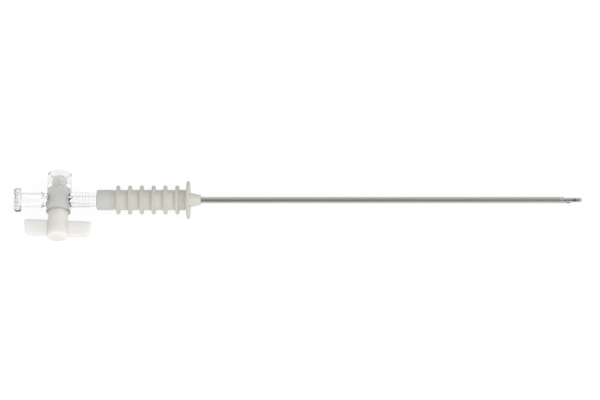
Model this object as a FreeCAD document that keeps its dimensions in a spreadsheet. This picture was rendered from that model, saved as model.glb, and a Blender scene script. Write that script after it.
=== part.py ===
# Veress needle: a sharp outer needle in a ribbed grip, a blunt sprung stylet that slides in it,
# and a clear stopcock with a luer port on the stylet's rear end.
# Millimetres and degrees. +X runs along the needle to its point, +Z is up, and the stopcock's
# barrel lies along Y with its handle at -Y. The origin is on the needle's axis at the nose tip.

import FreeCAD, Part
import math
import os
import re

import Sketcher

SIZES = {
    # Outer needle
    "needle_length": 120.0,  # from the nose tip to the sharp point
    "needle_od": 2.1,
    "needle_bore": 1.68,
    "needle_seat_od": 2.5,  # upset length that is held in the nose
    "bevel_angle": 30.0,
    "bevel_roll": 20.0,
    # Stylet
    "tube_hold": 14.0,  # length of the tube that is bonded in the hub's rod
    "slide_gap": 0.08,  # radial, stylet in needle
    "stylet_wall": 0.2,
    "stylet_reach": 3.6,  # tip past the needle's point, at rest
    "travel": 5.0,  # how far the stylet is pushed back
    "hole_length": 1.25,
    "hole_width": 0.95,
    "hole_setback": 2.6,  # middle of the side hole behind the tip's end
    "hole_roll": -30.0,
    "tip_plug": 1.0,
    # Grip
    "grip_length": 28.8,
    "core_od": 6.6,
    "neck_od": 6.38,
    "rib_od": 9.4,
    "rib_thickness": 1.0,
    "rib_count": 6,
    "rib_setback": 7.7,  # middle of the foremost rib behind the nose tip
    "rib_rear_setback": 1.9,  # middle of the rearmost rib ahead of the grip's rear
    "rib_crest": 0.25,
    "rib_root": 0.3,
    "flange_od": 12.26,
    "flange_thickness": 0.9,
    "nose_length": 3.65,
    "nose_base_od": 4.86,
    "nose_tip_od": 3.16,
    "chamber_od": 5.2,
    "rim_round": 0.25,
    # Rear cap
    "cap_length": 5.1,
    "cap_od": 6.66,
    "cap_plug": 3.0,
    "cap_round": 0.7,
    "guide_gap": 0.05,  # radial, hub rod in cap
    "bond_gap": 0.02,  # radial, where pieces are glued
    # Spring and its seat
    "spring_wire": 0.45,
    "spring_turns": 11,
    "spring_closed_gap": 0.02,  # between the closed turns at each end
    "spring_shortest": 6.0,
    "spring_clearance": 0.3,  # radial, wire to rod
    "end_gap": 0.03,  # wire to the faces that it presses on
    "seat_thickness": 1.4,
    "seat_gap": 0.08,  # radial, seat in chamber
    "seat_play": 0.6,  # seat to the chamber's front, at rest
    # Seal
    "retainer_od": 4.0,
    "retainer_thickness": 0.8,
    "seal_section": 0.8,
    "seal_gap": 0.02,
    "seal_side": 0.1,
    "seal_lip": 0.5,
    # Hub
    "rod_od": 3.1,
    "rod_end_od": 2.3,
    "hub_bore": 2.2,  # gas way behind the stylet's tube
    "shoulder_length": 2.1,
    "shoulder_od": 4.0,
    "collar_od": 4.4,
    "collar_length": 1.0,
    "ridge_depth": 0.15,
    "ridge_pitch": 0.93,
    "ridge_count": 5,
    # Stopcock body, measured from its barrel's axis
    "stem_length": 10.3,
    "stem_od": 4.76,
    "socket_depth": 5.5,
    "spigot_gap": 0.36,  # end of the hub's spigot to the socket's floor
    "port_length": 14.4,
    "port_od": 5.28,
    "port_neck_od": 4.3,
    "port_neck_length": 4.9,
    "port_shoulder": 0.8,
    "lug_od": 7.8,
    "lug_root_od": 6.4,
    "lug_width": 2.1,
    "lug_sweep": 104.0,
    "lug_round": 0.5,
    "luer_mouth": 4.3,
    "luer_depth": 8.8,
    "luer_taper": 0.06,
    "flow_bore": 1.9,
    "barrel_od": 7.95,
    "barrel_up": 9.15,
    "barrel_down": 4.45,
    "barrel_round": 0.3,
    "junction_round": 0.35,
    "bore_bottom": 5.7,
    "bore_top": 5.2,
    "bore_up": 4.0,
    "lip_bore": 4.4,
    "lip_thickness": 0.7,
    "recess_od": 6.3,
    # Stopcock handle
    "handle_turn": 5.0,
    "turn_gap": 0.03,  # radial, plug in barrel
    "face_gap": 0.12,
    "snap_gap": 0.05,  # radial, plug's neck in the barrel's lip
    "hub_od": 6.6,
    "hub_end": 13.4,
    "hub_round": 0.4,
    "snap_od": 5.5,
    "snap_tip_od": 4.4,
    "plug_up": 7.7,
    "wing_span": 22.0,
    "wing_near": 7.6,
    "wing_far": 12.95,
    "wing_slant": 0.7,
    "wing_thickness": 1.6,
    "wing_near_round": 0.9,
    "wing_far_round": 1.9,
    "wing_edge_round": 0.5,
}

# Places along the needle and radii that follow from the sizes, as expressions
NEEDLE_R = "(needle_od / 2)"
STYLET_R = "(needle_bore / 2 - slide_gap)"
STYLET_BORE_R = f"({STYLET_R} - stylet_wall)"
CHAMBER_R = "(chamber_od / 2)"
CAP_REAR = "(-grip_length - cap_length)"
CAP_FRONT = "(-grip_length + cap_plug)"
SEAT_REAR = f"({CAP_FRONT} + spring_shortest + travel)"
SEAT_FRONT = f"({SEAT_REAR} + seat_thickness)"
CHAMBER_FRONT = f"({SEAT_FRONT} + seat_play)"
RETAINER_FRONT = f"({CHAMBER_FRONT} + retainer_thickness)"
POCKET_FRONT = f"({RETAINER_FRONT} + seal_section + 2 * seal_side)"
NEEDLE_REAR = f"({POCKET_FRONT} + seal_lip)"
SEAL_MEAN_R = f"({STYLET_R} + seal_gap + seal_section / 2)"
POCKET_R = f"({SEAL_MEAN_R} + seal_section / 2 + seal_gap)"
STEM_END = f"({CAP_REAR} - shoulder_length)"
BARREL_X = f"({STEM_END} - stem_length)"
SPIGOT_REAR = f"({STEM_END} - socket_depth + spigot_gap)"
STYLET_END = "(needle_length + stylet_reach)"
TUBE_FRONT = f"({STYLET_END} - {STYLET_R})"
TUBE_REAR = f"({SEAT_FRONT} - tube_hold)"
ROD_R = "(rod_od / 2)"
SOCKET_R = f"({ROD_R} + bond_gap)"
LIP_TOP = "(bore_up + lip_thickness)"

NEAR = 1e-3  # places this close count as the same
POINTS_PER_TURN = 12  # along the spring's middle line

doc = FreeCAD.newDocument("veress_needle")
sheet = doc.addObject("Spreadsheet::Sheet", "Sizes")


def bind(text):
    """An expression on the sheet's cells, from one written with their bare names."""
    return re.sub(r"[a-z_]+", lambda word: f"Sizes.{word[0]}" if word[0] in SIZES else word[0], text)


def value(text):
    return float(sheet.evalExpression(bind(text)))


def new_body(name, at="0", roll_axis=None, roll="0"):
    """A body whose place along X, and turn about one axis, follow the sheet."""
    body = doc.addObject("PartDesign::Body", name)
    body.Label = name
    if roll_axis:
        body.Placement = FreeCAD.Placement(FreeCAD.Vector(), FreeCAD.Rotation(roll_axis, value(roll)))
        body.setExpression("Placement.Rotation.Angle", bind(roll))
    body.setExpression("Placement.Base.x", bind(at))
    return body


def new_sketch(body, name, plane):
    """An empty sketch on one of the body's own origin planes."""
    sketch = body.newObject("Sketcher::SketchObject", name)
    origin_plane = next(one for one in body.Origin.OriginFeatures if one.Role == plane)
    sketch.AttachmentSupport = [(origin_plane, "")]
    sketch.MapMode = "FlatFace"
    return sketch


def tie(sketch, kind, item, point, text):
    """Ties a point of the sketch to a distance from its origin."""
    constraint = Sketcher.Constraint(kind, -1, 1, item, point, value(text))
    sketch.setExpression(f"Constraints[{sketch.addConstraint(constraint)}]", bind(text))


def profile(body, name, plane, corners, dome_at=None):
    """A closed outline whose corners are tied to the sheet.

    The edge that leaves the corner numbered dome_at is a quarter circle centred on the axis.
    """
    sketch = new_sketch(body, name, plane)
    points = [FreeCAD.Vector(value(x), value(y), 0) for x, y in corners]
    count = len(points)
    for i, start in enumerate(points):
        end = points[(i + 1) % count]
        if i == dome_at:
            round_edge = Part.Circle(FreeCAD.Vector(start.x, 0, 0), FreeCAD.Vector(0, 0, 1), start.y)
            sketch.addGeometry(Part.ArcOfCircle(round_edge, 0, math.pi / 2))
        else:
            sketch.addGeometry(Part.LineSegment(start, end))
    # a quarter circle runs from the axis up, so its two ends swap over
    for i in range(count):
        following = (i + 1) % count
        leaving = 1 if i == dome_at else 2
        arriving = 2 if following == dome_at else 1
        sketch.addConstraint(Sketcher.Constraint("Coincident", i, leaving, following, arriving))
    for i, (x, y) in enumerate(corners):
        point = 2 if i == dome_at else 1
        for kind, text, axis in (("DistanceX", x, -2), ("DistanceY", y, -1)):
            if text == "0":
                sketch.addConstraint(Sketcher.Constraint("PointOnObject", i, point, axis))
            else:
                tie(sketch, kind, i, point, text)
    if dome_at is not None:
        sketch.addConstraint(Sketcher.Constraint("PointOnObject", dome_at, 3, -1))
    return sketch


def circle(body, name, plane, radius):
    """A circle about the sketch's origin."""
    sketch = new_sketch(body, name, plane)
    sketch.addGeometry(Part.Circle(FreeCAD.Vector(), FreeCAD.Vector(0, 0, 1), value(radius)))
    sketch.addConstraint(Sketcher.Constraint("Coincident", 0, 3, -1, 1))
    index = sketch.addConstraint(Sketcher.Constraint("Radius", 0, value(radius)))
    sketch.setExpression(f"Constraints[{index}]", bind(radius))
    return sketch


def slot(body, name, plane, middle, length, width):
    """A slot with round ends along the sketch's first axis."""
    sketch = new_sketch(body, name, plane)
    radius = value(width) / 2
    reach = (value(length) - value(width)) / 2
    ends = [FreeCAD.Vector(value(middle) + side * reach, 0, 0) for side in (-1, 1)]
    normal = FreeCAD.Vector(0, 0, 1)
    up = FreeCAD.Vector(0, radius, 0)
    quarter = math.pi / 2
    sketch.addGeometry(Part.ArcOfCircle(Part.Circle(ends[0], normal, radius), quarter, 3 * quarter))
    sketch.addGeometry(Part.ArcOfCircle(Part.Circle(ends[1], normal, radius), -quarter, quarter))
    sketch.addGeometry(Part.LineSegment(ends[0] + up, ends[1] + up))
    sketch.addGeometry(Part.LineSegment(ends[0] - up, ends[1] - up))
    for arc, arc_end, line, line_end in ((0, 1, 2, 1), (0, 2, 3, 1), (1, 1, 3, 2), (1, 2, 2, 2)):
        sketch.addConstraint(Sketcher.Constraint("Tangent", arc, arc_end, line, line_end))
    sketch.addConstraint(Sketcher.Constraint("Equal", 0, 1))
    for arc, side in ((0, "-"), (1, "+")):
        sketch.addConstraint(Sketcher.Constraint("PointOnObject", arc, 3, -1))
        tie(sketch, "DistanceX", arc, 3, f"{middle} {side} ({length} - {width}) / 2")
    index = sketch.addConstraint(Sketcher.Constraint("Radius", 0, radius))
    sketch.setExpression(f"Constraints[{index}]", bind(f"{width} / 2"))
    return sketch


def turned(body, sketch, name, axis="H_Axis", cut=False, sweep=None):
    """The sketch turned about one of its own axes, all the way round unless a sweep is given."""
    kind = "PartDesign::Groove" if cut else "PartDesign::Revolution"
    feature = body.newObject(kind, name)
    feature.Profile = sketch
    feature.ReferenceAxis = (sketch, [axis])
    feature.Angle = 360
    if sweep:
        feature.Midplane = True
        feature.setExpression("Angle", bind(sweep))
    doc.recompute()
    return feature


def padded(body, sketch, name, length, both_ways=False):
    pad = body.newObject("PartDesign::Pad", name)
    pad.Profile = sketch
    pad.setExpression("Length", bind(length))
    if both_ways:
        pad.SideType = "Symmetric"
    doc.recompute()
    return pad


def pocketed(body, sketch, name, depth=None):
    """A cut right through both ways, or to a depth on the side that the sketch faces."""
    before = body.Shape.Volume
    pocket = body.newObject("PartDesign::Pocket", name)
    pocket.Profile = sketch
    if depth:
        pocket.Type = "Length"
        pocket.setExpression("Length", bind(depth))
        pocket.Reversed = True
    else:
        pocket.Type = "ThroughAll"
        pocket.SideType = "Symmetric"
    doc.recompute()
    if body.Shape.Volume > before - NEAR:
        raise RuntimeError(f"{name} cuts nothing")
    return pocket


def repeated(body, feature, name, direction, count, pitch):
    """Copies of a feature in a row along one of its sketch's axes."""
    pattern = body.newObject("PartDesign::LinearPattern", name)
    pattern.Originals = [feature]
    pattern.Direction = (feature.Profile[0], [direction])
    pattern.Mode = "Spacing"
    pattern.setExpression("Offset", bind(pitch))
    pattern.setExpression("Occurrences", bind(count))
    body.Tip = pattern
    doc.recompute()
    return pattern


def edges_where(shape, test):
    return [f"Edge{i}" for i, edge in enumerate(shape.Edges, 1) if test(edge)]


def is_ring(edge, radius, axis=None):
    """Whether the edge is a circle of this radius, about this axis."""
    if not isinstance(edge.Curve, Part.Circle) or abs(edge.Curve.Radius - radius) > NEAR:
        return False
    return axis is None or abs(edge.Curve.Axis.dot(axis)) > 1 - NEAR


def rounded(body, name, radius, test):
    """A fillet on every edge of the body so far that passes the test."""
    base = body.Tip
    fillet = body.newObject("PartDesign::Fillet", name)
    chosen = edges_where(base.Shape, test)
    if not chosen:
        raise RuntimeError(f"{name} finds no edge")
    fillet.Base = (base, chosen)
    fillet.setExpression("Radius", bind(radius))
    doc.recompute()
    return fillet


def make_outer_cannula():
    """Thin steel tube, upset where the nose holds it, ground at a slant to a sharp point."""
    body = new_body("outer_cannula", NEEDLE_REAR, FreeCAD.Vector(1, 0, 0), "-bevel_roll")
    tube_length = f"(needle_length - {NEEDLE_REAR})"
    padded(body, circle(body, "TubeOutside", "YZ_Plane", NEEDLE_R), "Tube", tube_length)
    padded(body, circle(body, "SeatOutside", "YZ_Plane", "needle_seat_od / 2"), "Seat", f"-{NEEDLE_REAR}")
    pocketed(body, circle(body, "TubeInside", "YZ_Plane", "needle_bore / 2"), "Bore")
    above = "needle_od"
    heel = f"({tube_length} - ({above} + {NEEDLE_R}) / tan(bevel_angle))"
    corners = [(tube_length, f"-{NEEDLE_R}"), (tube_length, above), (heel, above)]
    pocketed(body, profile(body, "GrindOutline", "XZ_Plane", corners), "Grind")
    return body


def make_stylet_tube():
    """Blunt inner tube that carries the gas to a side hole just behind its closed end."""
    body = new_body("stylet_tube", TUBE_REAR, FreeCAD.Vector(1, 0, 0), "-hole_roll")
    length = f"({TUBE_FRONT} - {TUBE_REAR})"
    padded(body, circle(body, "TubeOutside", "YZ_Plane", STYLET_R), "Tube", length)
    pocketed(body, circle(body, "TubeInside", "YZ_Plane", STYLET_BORE_R), "Bore")
    middle = f"({STYLET_END} - hole_setback - {TUBE_REAR})"
    outline = slot(body, "HoleOutline", "XY_Plane", middle, "hole_length", "hole_width")
    pocketed(body, outline, "SideHole", depth="needle_bore / 2")
    return body


def make_stylet_tip():
    """Round plug that closes the stylet's end."""
    body = new_body("stylet_tip", TUBE_FRONT)
    plug_r = f"({STYLET_BORE_R} - bond_gap)"
    corners = [
        ("-tip_plug", "0"),
        ("-tip_plug", plug_r),
        ("0", plug_r),
        ("0", STYLET_R),
        (STYLET_R, "0"),
    ]
    turned(body, profile(body, "Outline", "XZ_Plane", corners, dome_at=3), "Plug")
    return body


def make_grip_body():
    """Ribbed moulding: spring chamber behind, seal pocket, and a nose that holds the needle."""
    body = new_body("grip_body")
    core_r = "(core_od / 2)"
    flange_front = "(-nose_length)"
    flange_rear = "(-nose_length - flange_thickness)"
    rear_rib = "(-grip_length + rib_rear_setback)"
    seat_hole = "(needle_seat_od / 2 + bond_gap)"
    corners = [
        ("-grip_length", CHAMBER_R),
        ("-grip_length", "neck_od / 2"),
        (rear_rib, "neck_od / 2"),
        (rear_rib, core_r),
        (flange_rear, core_r),
        (flange_rear, "flange_od / 2"),
        (flange_front, "flange_od / 2"),
        (flange_front, "nose_base_od / 2"),
        ("0", "nose_tip_od / 2"),
        ("0", seat_hole),
        (NEEDLE_REAR, seat_hole),
        (NEEDLE_REAR, "needle_bore / 2"),
        (POCKET_FRONT, "needle_bore / 2"),
        (POCKET_FRONT, POCKET_R),
        (RETAINER_FRONT, POCKET_R),
        (RETAINER_FRONT, "retainer_od / 2 + bond_gap"),
        (CHAMBER_FRONT, "retainer_od / 2 + bond_gap"),
        (CHAMBER_FRONT, CHAMBER_R),
    ]
    turned(body, profile(body, "CoreOutline", "XZ_Plane", corners), "Core")
    rib_rear, rib_front = (f"({rear_rib} {side} rib_thickness / 2)" for side in "-+")
    rib_foot = "(neck_od / 2 - rib_root)"
    rib_corners = [
        (rib_rear, rib_foot),
        (rib_rear, "rib_od / 2"),
        (rib_front, "rib_od / 2"),
        (rib_front, rib_foot),
    ]
    rib = turned(body, profile(body, "RibOutline", "XZ_Plane", rib_corners), "Rib")
    rib_pitch = f"(-rib_setback - {rear_rib}) / (rib_count - 1)"
    repeated(body, rib, "Ribs", "H_Axis", "rib_count", rib_pitch)
    along = FreeCAD.Vector(1, 0, 0)
    rounded(body, "RibCrests", "rib_crest", lambda edge: is_ring(edge, value("rib_od / 2"), along))
    rounded(body, "FlangeRim", "rim_round", lambda edge: is_ring(edge, value("flange_od / 2"), along))
    roots = value(core_r), value("neck_od / 2")
    rear = value("-grip_length")
    rounded(
        body,
        "RibRoots",
        "rib_root",
        lambda edge: any(is_ring(edge, r, along) for r in roots) and edge.Curve.Center.x > rear + NEAR,
    )
    return body


def make_rear_cap():
    """Collar that closes the grip behind the spring and guides the hub's rod."""
    body = new_body("rear_cap")
    guide_r = f"({ROD_R} + guide_gap)"
    plug_r = f"({CHAMBER_R} - bond_gap)"
    corners = [
        (CAP_REAR, guide_r),
        (CAP_REAR, "cap_od / 2"),
        ("-grip_length", "cap_od / 2"),
        ("-grip_length", plug_r),
        (CAP_FRONT, plug_r),
        (CAP_FRONT, guide_r),
    ]
    turned(body, profile(body, "Outline", "XZ_Plane", corners), "Collar")
    rear = value(CAP_REAR)
    rounded(
        body,
        "RearRound",
        "cap_round",
        lambda edge: is_ring(edge, value("cap_od / 2")) and edge.Curve.Center.x < rear + NEAR,
    )
    front = value("-grip_length")
    rounded(
        body,
        "FrontRound",
        "rim_round / 2",
        lambda edge: is_ring(edge, value("cap_od / 2")) and abs(edge.Curve.Center.x - front) < NEAR,
    )
    return body


def make_seal_retainer():
    """Washer pressed into the grip behind the seal."""
    body = new_body("seal_retainer")
    inside = f"({STYLET_R} + slide_gap)"
    corners = [
        (CHAMBER_FRONT, inside),
        (CHAMBER_FRONT, "retainer_od / 2"),
        (RETAINER_FRONT, "retainer_od / 2"),
        (RETAINER_FRONT, inside),
    ]
    turned(body, profile(body, "Outline", "XZ_Plane", corners), "Washer")
    return body


def make_seal_ring():
    """Rubber ring in its pocket, round the stylet."""
    ring = doc.addObject("Part::Torus", "seal_ring")
    ring.Label = "seal_ring"
    ring.Placement = FreeCAD.Placement(
        FreeCAD.Vector(), FreeCAD.Rotation(FreeCAD.Vector(0, 1, 0), 90)
    )
    ring.setExpression("Radius1", bind(SEAL_MEAN_R))
    ring.setExpression("Radius2", bind("seal_section / 2"))
    ring.setExpression("Placement.Base.x", bind(f"{RETAINER_FRONT} + seal_side + seal_section / 2"))
    return ring


def make_spring_seat():
    """Ring bonded on the front of the hub's rod, which takes the spring's push."""
    body = new_body("spring_seat")
    inside = "(rod_end_od / 2 + bond_gap)"
    outside = f"({CHAMBER_R} - seat_gap)"
    corners = [
        (SEAT_REAR, inside),
        (SEAT_REAR, outside),
        (SEAT_FRONT, outside),
        (SEAT_FRONT, inside),
    ]
    turned(body, profile(body, "Outline", "XZ_Plane", corners), "Ring")
    front = value(SEAT_FRONT)
    rounded(
        body,
        "LeadingRound",
        "rim_round",
        lambda edge: is_ring(edge, value(outside)) and abs(edge.Curve.Center.x - front) < NEAR,
    )
    return body


def make_stylet_hub():
    """Clear rod that joins the stylet to the stopcock: ridged spigot, shoulder, rod and end step."""
    body = new_body("stylet_hub")
    tube_hole = f"({STYLET_R} + bond_gap)"
    collar_front = f"({STEM_END} + collar_length)"
    corners = [
        (SPIGOT_REAR, "hub_bore / 2"),
        (SPIGOT_REAR, ROD_R),
        (STEM_END, ROD_R),
        (STEM_END, "collar_od / 2"),
        (collar_front, "collar_od / 2"),
        (collar_front, "shoulder_od / 2"),
        (CAP_REAR, "shoulder_od / 2"),
        (CAP_REAR, ROD_R),
        (SEAT_REAR, ROD_R),
        (SEAT_REAR, "rod_end_od / 2"),
        (SEAT_FRONT, "rod_end_od / 2"),
        (SEAT_FRONT, tube_hole),
        (TUBE_REAR, tube_hole),
        (TUBE_REAR, "hub_bore / 2"),
    ]
    turned(body, profile(body, "Outline", "XZ_Plane", corners), "Rod")
    first = f"({SPIGOT_REAR} + ridge_pitch / 2)"
    ridge_corners = [
        (first, f"{ROD_R} + bond_gap"),
        (f"{first} + ridge_pitch / 2", f"{ROD_R} + bond_gap"),
        (f"{first} + ridge_pitch / 4", f"{ROD_R} - ridge_depth"),
    ]
    groove = turned(body, profile(body, "GrooveOutline", "XZ_Plane", ridge_corners), "Groove", cut=True)
    repeated(body, groove, "Grooves", "H_Axis", "ridge_count", "ridge_pitch")
    return body


def spring_line():
    """The middle line of the wire, with one closed turn at each end."""
    wire = value("spring_wire")
    turns = value("spring_turns")
    radius = value(f"{ROD_R} + spring_clearance + spring_wire / 2")
    start = value(CAP_FRONT) + wire / 2 + value("end_gap")
    end = value(SEAT_REAR) - wire / 2 - value("end_gap")
    closed_pitch = wire + value("spring_closed_gap")
    open_pitch = (end - start - 2 * closed_pitch) / (turns - 2)
    points = []
    for i in range(int(turns * POINTS_PER_TURN) + 1):
        turn = i / POINTS_PER_TURN
        open_turns = min(max(turn - 1, 0), turns - 2)
        along = start + closed_pitch * (turn - open_turns) + open_pitch * open_turns
        angle = 2 * math.pi * turn
        points.append(FreeCAD.Vector(along, radius * math.cos(angle), radius * math.sin(angle)))
    line = Part.BSplineCurve()
    line.interpolate(points)
    return line


def make_compression_spring():
    """Closed-end coil spring between the cap and the seat."""
    line = spring_line()
    start = line.value(line.FirstParameter)
    heading = line.tangent(line.FirstParameter)[0]
    section = Part.Wire(Part.makeCircle(value("spring_wire / 2"), start, heading))
    spring = doc.addObject("Part::Feature", "compression_spring")
    spring.Label = "compression_spring"
    spring.Shape = Part.Wire(line.toShape()).makePipeShell([section], True, True)
    return spring


def make_stopcock_body():
    """Clear moulding: barrel for the plug, luer lock port behind and stem in front."""
    body = new_body("stopcock_body", BARREL_X)
    barrel_corners = [
        ("0", "-barrel_down"),
        ("barrel_od / 2", "-barrel_down"),
        ("barrel_od / 2", "barrel_up"),
        ("0", "barrel_up"),
    ]
    turned(body, profile(body, "BarrelOutline", "XY_Plane", barrel_corners), "Barrel", "V_Axis")
    lug_front = "(lug_width - port_length)"
    tube_corners = [
        ("-port_length", "0"),
        ("-port_length", "lug_root_od / 2"),
        (lug_front, "lug_root_od / 2"),
        (lug_front, "port_od / 2"),
        ("-port_neck_length - port_shoulder", "port_od / 2"),
        ("-port_neck_length", "port_neck_od / 2"),
        ("0", "port_neck_od / 2"),
        ("0", "stem_od / 2"),
        ("stem_length", "stem_od / 2"),
        ("stem_length", "0"),
    ]
    turned(body, profile(body, "TubeOutline", "XY_Plane", tube_corners), "Tubes")
    barrel_r = value("barrel_od / 2")
    tube_radii = value("port_neck_od / 2"), value("stem_od / 2")

    def is_junction(edge):
        middle = edge.valueAt((edge.FirstParameter + edge.LastParameter) / 2)
        on_barrel = abs(math.hypot(middle.x, middle.z) - barrel_r) < NEAR
        return on_barrel and any(abs(math.hypot(middle.y, middle.z) - r) < NEAR for r in tube_radii)

    rounded(body, "Junctions", "junction_round", is_junction)
    rounded(body, "BarrelRims", "barrel_round", lambda edge: is_ring(edge, barrel_r))
    lug_corners = [
        ("-port_length", "port_od / 2"),
        ("-port_length", "lug_od / 2"),
        (lug_front, "lug_od / 2"),
        (lug_front, "port_od / 2"),
    ]
    lug_outline = profile(body, "LugOutline", "XY_Plane", lug_corners)
    lug = turned(body, lug_outline, "Lug", sweep="lug_sweep")
    lugs = body.newObject("PartDesign::PolarPattern", "Lugs")
    lugs.Originals = [lug]
    lugs.Axis = (lug_outline, ["H_Axis"])
    lugs.Angle = 360
    lugs.Occurrences = 2
    body.Tip = lugs
    doc.recompute()
    along = FreeCAD.Vector(1, 0, 0)
    rounded(body, "LugRims", "lug_round", lambda edge: is_ring(edge, value("lug_od / 2"), along))
    luer_end_r = "(luer_mouth / 2 - luer_taper / 2 * luer_depth)"
    luer_end = "(luer_depth - port_length)"
    socket = "(stem_length - socket_depth)"
    way_corners = [
        ("-port_length", "0"),
        ("-port_length", "luer_mouth / 2"),
        (luer_end, luer_end_r),
        (luer_end, "flow_bore / 2"),
        (socket, "flow_bore / 2"),
        (socket, SOCKET_R),
        ("stem_length", SOCKET_R),
        ("stem_length", "0"),
    ]
    turned(body, profile(body, "WayOutline", "XY_Plane", way_corners), "Way", cut=True)
    bore_corners = [
        ("0", "-barrel_down"),
        ("bore_bottom / 2", "-barrel_down"),
        ("bore_top / 2", "bore_up"),
        ("lip_bore / 2", "bore_up"),
        ("lip_bore / 2", LIP_TOP),
        ("recess_od / 2", LIP_TOP),
        ("recess_od / 2", "barrel_up"),
        ("0", "barrel_up"),
    ]
    bore_outline = profile(body, "PlugBoreOutline", "XY_Plane", bore_corners)
    turned(body, bore_outline, "PlugBore", "V_Axis", cut=True)
    return body


def make_stopcock_handle():
    """One moulding: tapered plug with a cross hole and a snap end, hub and two wings."""
    body = new_body("stopcock_handle", BARREL_X, FreeCAD.Vector(0, 1, 0), "handle_turn")
    hub_top = "(-barrel_down - face_gap)"
    neck_r = "(lip_bore / 2 - snap_gap)"
    corners = [
        ("0", "-hub_end"),
        ("hub_od / 2", "-hub_end"),
        ("hub_od / 2", hub_top),
        ("bore_bottom / 2 - turn_gap", hub_top),
        ("bore_top / 2 - turn_gap", "bore_up - face_gap"),
        (neck_r, "bore_up - face_gap"),
        (neck_r, f"{LIP_TOP} + face_gap"),
        ("snap_od / 2", f"{LIP_TOP} + face_gap"),
        ("snap_tip_od / 2", "plug_up"),
        ("0", "plug_up"),
    ]
    turned(body, profile(body, "PlugOutline", "XY_Plane", corners), "Plug", "V_Axis")
    hub_r = value("hub_od / 2")
    end = value("-hub_end")
    rounded(
        body,
        "HubRound",
        "hub_round",
        lambda edge: is_ring(edge, hub_r) and abs(edge.Curve.Center.y - end) < NEAR,
    )
    half = "wing_span / 2"
    wing_corners = [
        (half, "-wing_near"),
        (f"{half} - wing_slant", "-wing_far"),
        (f"-({half} - wing_slant)", "-wing_far"),
        (f"-({half})", "-wing_near"),
    ]
    outline = profile(body, "WingOutline", "XY_Plane", wing_corners)
    padded(body, outline, "Wings", "wing_thickness", both_ways=True)
    half_thickness = value("wing_thickness / 2")

    def is_corner(edge, y):
        ends = edge.Vertexes
        upright = len(ends) == 2 and abs(ends[0].Z - ends[1].Z) > half_thickness
        return upright and all(abs(one.Y + y) < NEAR and abs(one.X) > hub_r for one in ends)

    rounded(body, "FarCorners", "wing_far_round", lambda edge: is_corner(edge, value("wing_far")))
    rounded(body, "NearCorners", "wing_near_round", lambda edge: is_corner(edge, value("wing_near")))

    def is_wing_edge(edge):
        middle = edge.valueAt((edge.FirstParameter + edge.LastParameter) / 2)
        flat = all(abs(abs(one.Z) - half_thickness) < NEAR for one in edge.Vertexes)
        return flat and abs(abs(middle.z) - half_thickness) < NEAR and abs(middle.x) > hub_r

    rounded(body, "WingEdges", "wing_edge_round", is_wing_edge)
    pocketed(body, circle(body, "CrossHoleOutline", "YZ_Plane", "flow_bore / 2"), "CrossHole")
    return body


def fill_sheet():
    for row, (alias, size) in enumerate(SIZES.items(), 1):
        sheet.set(f"A{row}", alias)
        sheet.set(f"B{row}", str(size))
        sheet.setAlias(f"B{row}", alias)
    doc.recompute()


def check_and_export(pieces):
    """Writes one file for each piece, once every object is known to be sound."""
    for item in doc.Objects:
        if "Invalid" in item.State or "Error" in item.State:
            raise RuntimeError(f"{item.Name} failed: {item.State}")
    for piece in pieces:
        if piece.Shape.isNull() or not piece.Shape.isValid() or not piece.Shape.Solids:
            raise RuntimeError(f"{piece.Label} has no valid solid")
    os.makedirs("parts", exist_ok=True)
    for piece in pieces:
        piece.Shape.exportStep(f"parts/{piece.Label}.step")
        print(f"{piece.Label}: {piece.Shape.Volume:.2f} mm3, {len(piece.Shape.Solids)} solid")


fill_sheet()
PIECES = [
    make_grip_body(),
    make_rear_cap(),
    make_outer_cannula(),
    make_seal_ring(),
    make_seal_retainer(),
    make_compression_spring(),
    make_stylet_tube(),
    make_stylet_tip(),
    make_stylet_hub(),
    make_spring_seat(),
    make_stopcock_body(),
    make_stopcock_handle(),
]
doc.recompute()
check_and_export(PIECES)
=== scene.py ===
import math

import bpy
from mathutils import Matrix, Vector


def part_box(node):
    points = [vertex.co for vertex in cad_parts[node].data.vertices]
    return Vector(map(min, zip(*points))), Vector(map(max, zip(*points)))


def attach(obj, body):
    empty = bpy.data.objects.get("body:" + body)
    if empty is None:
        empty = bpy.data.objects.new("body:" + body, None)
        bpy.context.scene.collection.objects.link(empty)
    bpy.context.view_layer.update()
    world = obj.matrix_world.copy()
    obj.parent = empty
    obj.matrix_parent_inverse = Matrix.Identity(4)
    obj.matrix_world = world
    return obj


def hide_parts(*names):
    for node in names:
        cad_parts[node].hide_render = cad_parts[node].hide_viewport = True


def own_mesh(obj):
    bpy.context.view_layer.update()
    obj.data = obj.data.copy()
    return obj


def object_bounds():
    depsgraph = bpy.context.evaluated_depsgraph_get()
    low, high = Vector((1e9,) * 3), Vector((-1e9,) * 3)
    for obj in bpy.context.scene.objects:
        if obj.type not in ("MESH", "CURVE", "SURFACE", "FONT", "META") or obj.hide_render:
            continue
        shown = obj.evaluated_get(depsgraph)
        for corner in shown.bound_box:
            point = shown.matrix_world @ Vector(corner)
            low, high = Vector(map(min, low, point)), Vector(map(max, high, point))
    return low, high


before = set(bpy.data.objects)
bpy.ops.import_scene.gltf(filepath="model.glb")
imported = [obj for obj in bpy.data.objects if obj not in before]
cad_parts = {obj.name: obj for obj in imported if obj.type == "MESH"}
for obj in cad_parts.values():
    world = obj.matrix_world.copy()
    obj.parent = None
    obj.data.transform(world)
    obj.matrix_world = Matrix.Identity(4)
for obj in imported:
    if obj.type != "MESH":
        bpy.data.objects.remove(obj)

bpy.ops.object.select_all(action="DESELECT")
cad_low, cad_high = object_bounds()


# Grip. Injection moulded in pale grey plastic with a satin skin: six thin ribs, a stop flange and a
# tapered nose on one hollow core. The two halves of the mould leave a fine seam along both sides.
# The ribs and flange are painted a little darker than the core: painted shade that tones down the
# light that their crests catch.


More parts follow.
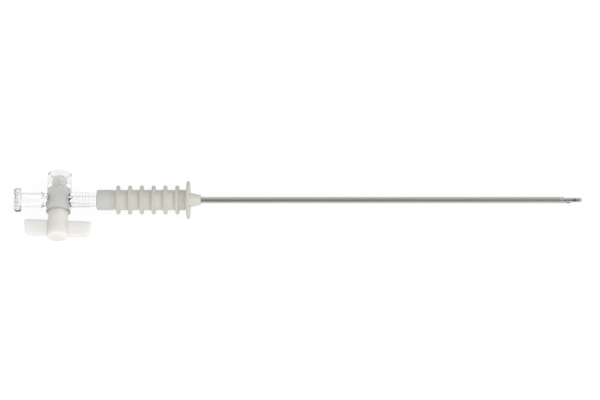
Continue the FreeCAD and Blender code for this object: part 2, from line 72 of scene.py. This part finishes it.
class Line:
    """One value in a finish. Sums on it add Math nodes, and node() adds any other kind."""

    def __init__(self, tree, socket=None):
        self.tree = tree
        self.socket = socket

    def node(self, kind, settings=None, sockets=None, out=0):
        """Adds a node and gives the value of its output out, by name or number."""
        made = self.tree.nodes.new("ShaderNode" + kind)
        for name, setting in (settings or {}).items():
            if name == "stops":
                ramp = made.color_ramp.elements
                while len(ramp) < len(setting):
                    ramp.new(0.5)
                for stop, (place, level) in zip(ramp, setting):
                    stop.position = place
                    stop.color = (level, level, level, 1)
            else:
                setattr(made, name, setting)
        for name, given in (sockets or {}).items():
            if isinstance(given, Line):
                self.tree.links.new(given.socket, made.inputs[name])
            else:
                made.inputs[name].default_value = given
        return Line(self.tree, made.outputs[out])

    def maths(self, operation, one, other=0.0):
        return self.node("Math", {"operation": operation}, {0: one, 1: other})

    def __add__(self, other):
        return self.maths("ADD", self, other)

    def __sub__(self, other):
        return self.maths("SUBTRACT", self, other)

    def __rsub__(self, other):
        return self.maths("SUBTRACT", other, self)

    def __mul__(self, other):
        return self.maths("MULTIPLY", self, other)

    def __gt__(self, other):
        return self.maths("GREATER_THAN", self, other)

    __radd__ = __add__
    __rmul__ = __mul__

    def between(self, low, high, to_low=0.0, to_high=1.0):
        """Runs smoothly from to_low to to_high as this value goes from low to high."""
        ends = {"From Min": low, "From Max": high, "To Min": to_low, "To Max": to_high}
        return self.node("MapRange", {"interpolation_type": "SMOOTHSTEP"}, {"Value": self, **ends})

    def blend(self, plain, other):
        """A colour that goes from plain to other as this value goes from 0 to 1."""
        colours = {6: (*plain, 1), 7: (*other, 1)}
        return self.node("Mix", {"data_type": "RGBA"}, {0: self, **colours}, out=2)


def finish_of(name, fixed):
    """A new material, its Principled shader with fixed values set, and the place on the piece."""
    finish = bpy.data.materials.new(name)
    finish.use_nodes = True
    shader = finish.node_tree.nodes["Principled BSDF"]
    for socket, setting in fixed.items():
        shader.inputs[socket].default_value = setting
    place = Line(finish.node_tree).node("TexCoord", out="Object")
    return finish, shader, place


def grain(place, size, stretch=(1, 1, 1), detail=2.0):
    """Soft random mottling whose spots are about size metres across, longer along a low stretch."""
    spots = place.node("Mapping", sockets={"Vector": place, "Scale": stretch})
    return spots.node("TexNoise", sockets={"Vector": spots, "Scale": 1 / size, "Detail": detail})


def axes(place):
    """The three coordinates of a place, each as a value of its own."""
    return [place.node("SeparateXYZ", sockets={0: place}, out=axis) for axis in "XYZ"]


def wire_up(shader, color, rough, height, depth):
    """Joins a finish's colour, roughness and surface, which is depth metres deep, to its shader."""
    bump = height.node("Bump", sockets={"Height": height, "Distance": depth, "Strength": 1.0})
    for name, line in (("Base Color", color), ("Roughness", rough), ("Normal", bump)):
        shader.id_data.links.new(line.socket, shader.inputs[name])


def dress(finish, slot, *nodes):
    """Puts a finish on CAD pieces in place of the plain one that they come with."""
    for node in nodes:
        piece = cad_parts[node]
        piece.data.materials.clear()
        piece.data.materials.append(finish)


soft_grey = {
    "Subsurface Weight": 0.12,
    "Subsurface Scale": 0.001,
    "Subsurface Radius": (1.0, 0.9, 0.75),
}
grip_skin, shader, place = finish_of("grip_skin", soft_grey)
core_edge, rib_edge = 0.0037, 0.0044
seam_inner, seam_outer = 0.00003, 0.00010
across, up = axes(place)[1:]
fine = grain(place, 0.00022, detail=3.0)
cloudy = grain(place, 0.007)
seam = up.maths("ABSOLUTE", up).between(seam_inner, seam_outer, 1.0, 0.0)
# Painted shade: the ribs and flange, out past the core, get a darker colour.
painted_rib_shade = (across * across + up * up).between(core_edge ** 2, rib_edge ** 2)
tone = cloudy.between(0.3, 0.7) * 0.2 + fine.between(0.3, 0.7) * 0.1 + seam * 0.05 + painted_rib_shade * 0.6
color = tone.blend((0.705, 0.700, 0.638), (0.560, 0.556, 0.508))
rough = 0.40 + fine * 0.10 + cloudy * 0.06
wire_up(shader, color, rough, fine * 0.4 + seam * 0.6, depth=0.00003)
dress(grip_skin, "grip_plastic", "grip_body")


# Rear cap, seal retainer and spring seat. Small turned-looking mouldings in the same grey, bonded
# into the grip and on the hub's rod. The cap is the smooth collar behind the ribs.

cap_skin, shader, place = finish_of("cap_skin", soft_grey)
fine = grain(place, 0.00018, detail=3.0)
rings = grain(place, 0.0012, (1, 0.05, 0.05))
tone = rings.between(0.3, 0.7) * 0.7 + fine.between(0.3, 0.7) * 0.3
color = tone.blend((0.615, 0.620, 0.590), (0.565, 0.570, 0.545))
wire_up(shader, color, 0.34 + fine * 0.14, fine * 0.6 + rings * 0.4, depth=0.00002)
dress(cap_skin, "cap_plastic", "rear_cap", "seal_retainer", "spring_seat")


# Outer needle. Drawn stainless steel tube, so its fine lines run lengthwise, with a slanted point
# ground on one side: the ground face is brighter, and its grinding lines run across it.

needle_skin, shader, place = finish_of("needle_skin", {"Metallic": 1.0})
drawn = grain(place, 0.00006, (0.012, 1, 1), detail=3.0)
worn = grain(place, 0.012)
ground = axes(place.node("NewGeometry", out="Normal"))[0].between(0.25, 0.45)
lines = grain(place, 0.00008, (1, 0.05, 0.05), detail=3.0)
tone = drawn.between(0.35, 0.65) * (1 - ground) * 0.7 + worn * 0.3
color = tone.blend((0.640, 0.620, 0.585), (0.510, 0.490, 0.455))
rough = 0.26 + drawn * 0.10 + worn * 0.06 - ground * 0.10
wire_up(shader, color, rough, drawn * (1 - ground) + lines * ground, depth=0.000004)
dress(needle_skin, "needle_steel", "outer_cannula")


# Stylet. A thinner drawn steel tube with a side hole, closed by a rounded plug that is welded in
# and polished, so that the tip pushes tissue away.

stylet_skin, shader, place = finish_of("stylet_skin", {"Metallic": 1.0})
drawn = grain(place, 0.00005, (0.015, 1, 1), detail=3.0)
worn = grain(place, 0.004)
tone = drawn.between(0.35, 0.65) * 0.7 + worn * 0.3
color = tone.blend((0.640, 0.630, 0.605), (0.520, 0.510, 0.485))
wire_up(shader, color, 0.18 + drawn * 0.10 + worn * 0.06, drawn, depth=0.000003)
dress(stylet_skin, "stylet_steel", "stylet_tube", "stylet_tip")


# Seal ring. Moulded in soft silicone, a little dusty. It lies hidden in its pocket in the grip,
# round the stylet, so that gas leaves only through the stylet.

soft_rubber = {"Subsurface Weight": 0.2, "Subsurface Scale": 0.0005}
seal_skin, shader, place = finish_of("seal_skin", soft_rubber)
dust = grain(place, 0.0003, detail=3.0)
color = dust.between(0.35, 0.7).blend((0.36, 0.29, 0.22), (0.46, 0.40, 0.33))
wire_up(shader, color, 0.50 + dust * 0.15, dust, depth=0.00002)
dress(seal_skin, "seal_rubber", "seal_ring")


# Spring. Wound from round stainless wire, with a closed turn at each end. It stands in the grip
# between the rear cap and the spring seat. A smooth shaded copy of the CAD piece is hung on the
# grip.

spring_skin, shader, place = finish_of("spring_skin", {"Metallic": 1.0})
drawn = grain(place, 0.00008, detail=3.0)
color = drawn.between(0.3, 0.7).blend((0.60, 0.59, 0.57), (0.46, 0.45, 0.43))
wire_up(shader, color, 0.24 + drawn * 0.12, drawn, depth=0.000005)


def merged_copy(node, name):
    """A copy of a CAD piece under a new name, its loose triangles joined."""
    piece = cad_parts[node].copy()
    piece.data = piece.data.copy()
    piece.name = piece.data.name = name
    for key in list(piece.keys()):
        del piece[key]
    piece.parent = None
    bpy.context.collection.objects.link(piece)
    bpy.ops.object.select_all(action="DESELECT")
    piece.select_set(True)
    bpy.context.view_layer.objects.active = piece
    bpy.ops.object.mode_set(mode="EDIT")
    bpy.ops.mesh.select_all(action="SELECT")
    bpy.ops.mesh.remove_doubles(threshold=1e-7)
    bpy.ops.mesh.customdata_custom_splitnormals_clear()
    bpy.ops.mesh.select_all(action="DESELECT")
    bpy.ops.object.mode_set(mode="OBJECT")
    return piece


coil = merged_copy("compression_spring", "spring_coil")
bpy.ops.object.shade_smooth()
coil.data.materials.clear()
coil.data.materials.append(spring_skin)
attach(coil, "grip")
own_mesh(coil)
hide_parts("compression_spring")


# Stopcock body and hub. Moulded in clear polycarbonate. The hub's spigot is solvent welded into the
# stem, and silicone grease fills all but the mouth of the bore round the plug. So that no air shows
# there, copies of the two CAD pieces have both joints closed and are then made one.

clear_skin, shader, place = finish_of("clear_skin", {"Transmission Weight": 1.0, "IOR": 1.57})
body_low, body_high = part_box("stopcock_body")
flange_shade_fade = body_low.x - 0.0003, body_low.x + 0.0022
mouth_shade_fade = body_low.y - 0.00035, body_low.y + 0.00105
end_face_shade_fade = body_low.y + 0.00005, body_low.y + 0.00020
lip_shade_start, lip_shade_end = (0.0030, 0.0038), (0.0060, 0.0066)
along, across = axes(place)[:2]
waves = grain(place, 0.0022)
marks = grain(place, 0.00012, (0.25, 1, 1), detail=3.0)
# Painted shade: the colour greys where the plastic is seen edge on, most in the corners at the snap
# lip, the flange and the bore's mouth, and on the barrel's end face and the flange. It stands in
# for the dark refractions that these rims and corners show.
painted_edge_shade = place.node("LayerWeight", sockets={"Blend": 0.5}, out="Facing").between(0.50, 1.0)
painted_flange_shade = along.between(*flange_shade_fade, 1.0, 0.0)
painted_end_face_shade = across.between(*end_face_shade_fade, 1.0, 0.0)
painted_lip_shade = across.between(*lip_shade_start) * across.between(*lip_shade_end, 1.0, 0.0)
painted_corner_shade = painted_lip_shade + painted_flange_shade + across.between(*mouth_shade_fade, 1.0, 0.0)
# Painted shade: edge-on rims, the lip, flange and mouth corners and the end face turn grey.
tone = waves.between(0.3, 0.7) * 0.02 + painted_edge_shade * (0.3 + painted_corner_shade) + painted_end_face_shade * 0.55 + painted_flange_shade * 0.35
color = tone.blend((0.992, 1.0, 0.998), (0.400, 0.415, 0.405))
rough = 0.012 + marks.between(0.6, 0.8) * 0.05
wire_up(shader, color, rough, waves + marks * 0.02, depth=0.000006)


def draw_in(piece, chosen, share, centre, along):
    """Scales the chosen points of a piece towards an axis through centre."""
    for point in piece.data.vertices:
        point.select = chosen(point.co)
    bpy.ops.object.mode_set(mode="EDIT")
    value = [1.0 if axis == along else share for axis in "XYZ"]
    bpy.ops.transform.resize(value=value, center_override=centre)
    bpy.ops.object.mode_set(mode="OBJECT")


plug_low, plug_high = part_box("stopcock_handle")
barrel_x = (plug_low.x + plug_high.x) / 2
bore_widest, bore_narrowest, bore_top = 0.00290, 0.00252, 0.00401
socket_r, socket_depth = 0.00157, 0.0055
grease_end = -0.0037
grease_share, weld_share = 0.985, 0.905
slack = 0.0001
clear_body = merged_copy("stopcock_body", "stopcock_clear")
bpy.ops.object.mode_set(mode="EDIT")
bpy.ops.mesh.select_all(action="SELECT")
bpy.ops.mesh.bisect(plane_co=(0, grease_end, 0), plane_no=(0, 1, 0))
bpy.ops.mesh.select_all(action="DESELECT")
bpy.ops.object.mode_set(mode="OBJECT")


def on_plug_wall(point):
    in_grease = grease_end - slack < point.y < bore_top
    return in_grease and bore_narrowest < math.hypot(point.x - barrel_x, point.z) < bore_widest


def on_socket_wall(point):
    in_socket = point.x > body_high.x - socket_depth - slack
    return in_socket and abs(math.hypot(point.y, point.z) - socket_r) < slack / 10


draw_in(clear_body, on_plug_wall, grease_share, (barrel_x, 0, 0), "Y")
draw_in(clear_body, on_socket_wall, weld_share, (0, 0, 0), "X")
clear_hub = merged_copy("stylet_hub", "hub_clear")
weld = clear_body.modifiers.new("weld", "BOOLEAN")
weld.operation = "UNION"
weld.solver = "EXACT"
weld.object = clear_hub
bpy.ops.object.select_all(action="DESELECT")
clear_body.select_set(True)
bpy.context.view_layer.objects.active = clear_body
bpy.ops.object.modifier_apply(modifier="weld")
bpy.data.objects.remove(clear_hub)
bpy.ops.object.shade_smooth_by_angle(angle=math.radians(25))
clear_body.data.materials.clear()
clear_body.data.materials.append(clear_skin)
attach(clear_body, "stylet")
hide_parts("stopcock_body", "stylet_hub")


# Handle. Moulded in milky polyethylene in one piece with its plug. Thin edges let light through.
# The post between barrel and wings is painted darker, painted shade for the light that its
# thickness keeps out. The skin is waxy and a little scuffed.

milk = {
    "Subsurface Weight": 1.0,
    "Subsurface Scale": 0.006,
    "Subsurface Radius": (1.0, 0.85, 0.7),
}
milky_skin, shader, place = finish_of("milky_skin", milk)
scuffs = grain(place, 0.00025, (0.5, 1, 1), detail=3.0)
cloudy = grain(place, 0.004)
post_r, post_fade = 0.0032, 0.0040
along, across, up = axes(place)
off_axis = along - barrel_x
outside = across.between(plug_low.y, plug_low.y + 0.0006)
outside = outside * across.between(body_low.y - 0.00075, body_low.y - 0.00005, 1.0, 0.0)
post = (off_axis * off_axis + up * up).between(post_r ** 2, post_fade ** 2, 1.0, 0.0)
# Painted shade: the post just outside the barrel is darkened.
painted_post_shade = post * outside
tone = cloudy.between(0.3, 0.7) * 0.25 + scuffs * 0.15 + painted_post_shade * 0.7
color = tone.blend((0.905, 0.875, 0.825), (0.740, 0.715, 0.690))
wire_up(shader, color, 0.34 + scuffs * 0.16, scuffs * 0.5 + cloudy * 0.5, depth=0.00003)
dress(milky_skin, "milky_plastic", "stopcock_handle")


# Table. A plain white sheet that the instrument lies on, with a share of its shadow. Through clear
# plastic it shows brighter, to make up for what the plastic throws back, and darker past both sides
# of the clear tubes, which draws their grey edges.

floor_drop = 0.00002
shadow_share = 0.16
white_level, plastic_lift = 1.06, 0.17
far_fade, far_dark = (0.0062, 0.0082), 0.24
outer_fade, outer_dark = (0.016, 0.030), 0.30
near_fade, near_dark = (-0.0016, -0.0008), 0.28
bpy.ops.mesh.primitive_plane_add(size=8.0, location=(0.03, 0.0, cad_low.z - floor_drop))
table = bpy.context.object
table.name = "table"
sheet = {"Base Color": (0.9, 0.9, 0.9, 1), "Roughness": 0.9}
table_white, shader, place = finish_of("table_white", sheet)
tree = table_white.node_tree
ray_kinds = "Is Camera Ray", "Is Glossy Ray", "Is Transmission Ray"
to_camera, in_metal, through_plastic = [place.node("LightPath", out=kind) for kind in ray_kinds]
shown = place.maths("MINIMUM", to_camera + in_metal + through_plastic, 1.0) * (1 - shadow_share)
lighting = place.node("LightPath", out="Diffuse Depth") > 0.5
across = axes(place.node("NewGeometry", out="Position"))[1]
# Painted shade, seen only through clear plastic: the sheet darkens past the far side and near side.
far_side = across.between(*far_fade, 0.0, far_dark) + across.between(*outer_fade, 0.0, outer_dark)
near_side = across.between(*near_fade, near_dark, 0.0)
past_edge = (far_side + near_side) * through_plastic * (1 - lighting)
brightest = white_level + plastic_lift
dimmed = ((1 - through_plastic) * plastic_lift + past_edge) * (1 / brightest)
white = place.node("Emission", sockets={"Color": (1, 1, 1, 1), "Strength": brightest})
white = place.node("MixShader", sockets={0: dimmed, 1: white})
lit = place.node("MixShader", sockets={0: past_edge, 1: Line(tree, shader.outputs[0])})
mixed = place.node("MixShader", sockets={0: shown, 1: lit, 2: white})
tree.links.new(mixed.socket, tree.nodes["Material Output"].inputs["Surface"])
table.data.materials.append(table_white)


# Studio. An even pale room that is white to the camera and lights most from the near side. Metal
# and clear plastic show it bright all round and dark behind the camera. One large soft lamp stands
# off the needle's end, on the near side.

room = bpy.data.worlds.new("room")
bpy.context.scene.world = room
room.use_nodes = True
tree = room.node_tree
start = Line(tree)
to_camera = start.node("LightPath", out="Is Camera Ray")
through_plastic = start.node("LightPath", out="Is Transmission Ray")
lighting = start.node("LightPath", out="Diffuse Depth") > 0.5
direction = start.node("TexCoord", out="Generated")


def room_level(toward, stops):
    """A grey that depends on how far a direction points toward one side of the room."""
    dot = {"operation": "DOT_PRODUCT"}
    level = start.node("VectorMath", dot, {0: direction, 1: toward}, out="Value") * 0.5 + 0.5
    return level.node("ValToRGB", {"stops": stops}, {0: level})


metal_view = room_level((0.0, -0.74, 0.67), [(0.25, 1.0), (0.65, 0.68), (0.87, 0.42), (1.0, 0.22)])
plastic_view = room_level((0.0, -0.45, 0.89), [(0.5, 0.9), (0.7, 0.65), (0.85, 0.2), (1.0, 0.05)])
room_white, room_lift = 1.06, 0.32
light = room_level((0.0, -0.95, 0.31), [(0.0, 0.32), (1.0, 1.0)]) * room_white
light = light + through_plastic * room_lift
view = through_plastic * plastic_view + (1 - through_plastic) * metal_view
strength = to_camera + (1 - to_camera) * (lighting * light + (1 - lighting) * view)
tree.links.new(strength.socket, tree.nodes["Background"].inputs["Strength"])
tree.nodes["Background"].inputs["Color"].default_value = (1, 1, 1, 1)

lamp_away = Vector((0.66, -0.38, 0.65)).normalized()
lamp_distance, lamp_size, lamp_power = 1.0, 0.75, 2.9
bpy.ops.object.light_add(type="AREA", location=lamp_away * lamp_distance)
lamp = bpy.context.object
lamp.name = "key"
lamp.data.size = lamp_size
lamp.data.energy = lamp_power
lamp.rotation_mode = "QUATERNION"
lamp.rotation_quaternion = (-lamp_away).to_track_quat("-Z", "Y")


# Camera. It looks down on the instrument from the near side, a little from the needle's end, and is
# turned so that the needle lies level in the picture.

aim = Vector((0.0322, 0.0, 0.0))
turn, tilt = math.radians(5.4), math.radians(63.0)
distance = 1.5
width_seen, sensor = 0.1947, 36.0
back = Vector((math.sin(turn) * math.cos(tilt), -math.cos(turn) * math.cos(tilt), math.sin(tilt)))
level = Vector((1, 0, 0))
right = (level - level.dot(back) * back).normalized()
above = back.cross(right)
bpy.ops.object.camera_add(location=aim + back * distance)
camera = bpy.context.object
camera.rotation_mode = "QUATERNION"
camera.rotation_quaternion = Matrix((right, above, back)).transposed().to_quaternion()
camera.data.sensor_width = sensor
camera.data.lens = sensor * distance / width_seen
camera.data.clip_start, camera.data.clip_end = 0.01, 20.0
bpy.context.scene.camera = camera
bpy.context.scene.view_settings.view_transform = "Standard"
